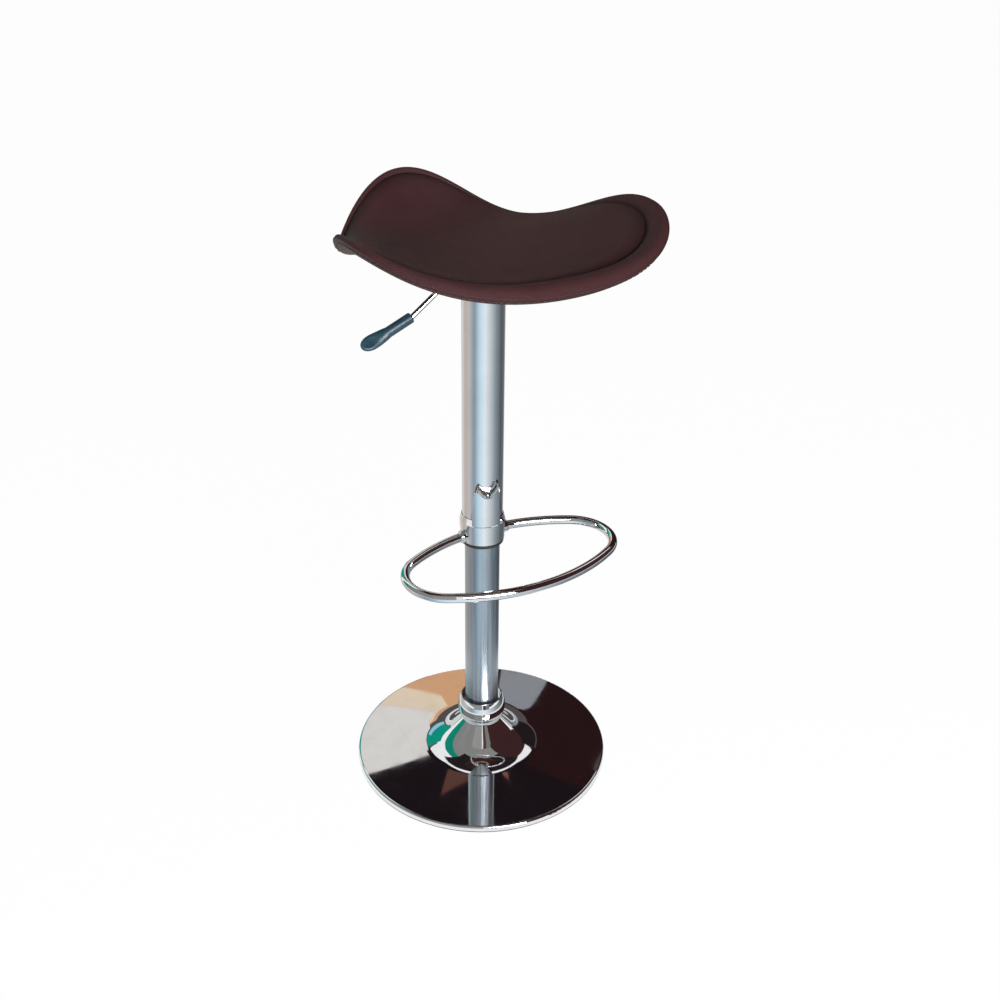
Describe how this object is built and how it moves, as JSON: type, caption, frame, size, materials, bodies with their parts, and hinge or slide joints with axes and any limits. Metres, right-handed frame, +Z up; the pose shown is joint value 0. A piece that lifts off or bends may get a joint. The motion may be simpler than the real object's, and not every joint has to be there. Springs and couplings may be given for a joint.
{
  "type": "saddle bar stool",
  "caption": "Height-adjustable bar stool: padded saddle seat on a telescoping chrome column with loop footrest, release lever and trumpet-shaped round base.",
  "frame": {"origin": "on the floor, on the column's axis, under the middle of the base", "axes": "+Z up along the column, the sitter faces -Y, and the release lever is at -X on the sitter's right"},
  "size_m": [0.4191, 0.447, 0.8537],
  "materials": {
    "chrome": "polished",
    "satin_steel": "satin",
    "raw_steel": "mill",
    "zinc_steel": "zinc plated",
    "bearing_steel": "ground",
    "weight_iron": "as cast",
    "black_paint": "powder coat",
    "alloy": "turned",
    "rubber_black": "matte",
    "black_plastic": "moulded",
    "white_nylon": "moulded",
    "handle_plastic": "moulded",
    "leatherette": "satin grain",
    "plywood": "raw"
  },
  "bodies": {
    "base": {"floor_ring": "rubber_black", "base_cover": "chrome", "base_weight": "weight_iron", "tube_flange": "raw_steel", "base_bolts": "zinc_steel", "base_nuts": "zinc_steel", "neck_ring": "chrome", "lower_tube": "satin_steel", "guide_bush": "white_nylon", "bearing_lower_race": "bearing_steel"},
    "rod": {"piston_rod": "chrome", "piston": "alloy", "piston_seal": "rubber_black", "bearing_upper_race": "bearing_steel", "rod_washer": "zinc_steel", "rod_clip": "zinc_steel"},
    "cage": {"bearing_cage": "white_nylon", "bearing_balls": "bearing_steel"},
    "seat": {"gas_cylinder": "black_paint", "cylinder_gland": "alloy", "upper_tube": "chrome", "tube_cap": "raw_steel", "tube_bush": "black_plastic", "footrest_collar": "chrome", "collar_screws": "zinc_steel", "footrest_ring": "chrome", "seat_plate": "black_paint", "taper_socket": "black_paint", "lever_bracket": "black_paint", "lever_pin": "zinc_steel", "plate_bolts": "zinc_steel", "plate_washers": "zinc_steel", "tee_nuts": "zinc_steel", "seat_shell": "plywood", "seat_pad": "leatherette", "seat_border": "leatherette", "under_cover": "leatherette"},
    "lever": {"lever_rod": "chrome", "lever_handle": "handle_plastic"},
    "pin": {"release_pin": "zinc_steel"}
  },
  "joints": [
    {"name": "swivel", "type": "hinge", "parent": "base", "child": "rod", "pos_m": [0, 0, 0], "axis": [0, 0, 1], "continuous": true},
    {"name": "cage_spin", "type": "hinge", "parent": "base", "child": "cage", "pos_m": [0, 0, 0], "axis": [0, 0, 1], "continuous": true},
    {"name": "lift", "type": "slide", "parent": "rod", "child": "seat", "axis": [0, 0, 1], "range_m": [-0.21, 0]},
    {"name": "lever", "type": "hinge", "parent": "seat", "child": "lever", "pos_m": [-0.03, 0, 0.7635], "axis": [0, 1, 0], "range_deg": [0, 5], "stiffness_Nm_per_rad": 2, "springref_deg": -5.73},
    {"name": "release_pin", "type": "slide", "parent": "seat", "child": "pin", "axis": [0, 0, 1], "range_m": [-0.0033, 0]}
  ],
  "couplings": [
    {"joint": "cage_spin", "follows": "swivel", "ratio": 0.5},
    {"joint": "release_pin", "follows": "lever", "m_per_rad": -0.03}
  ]
}
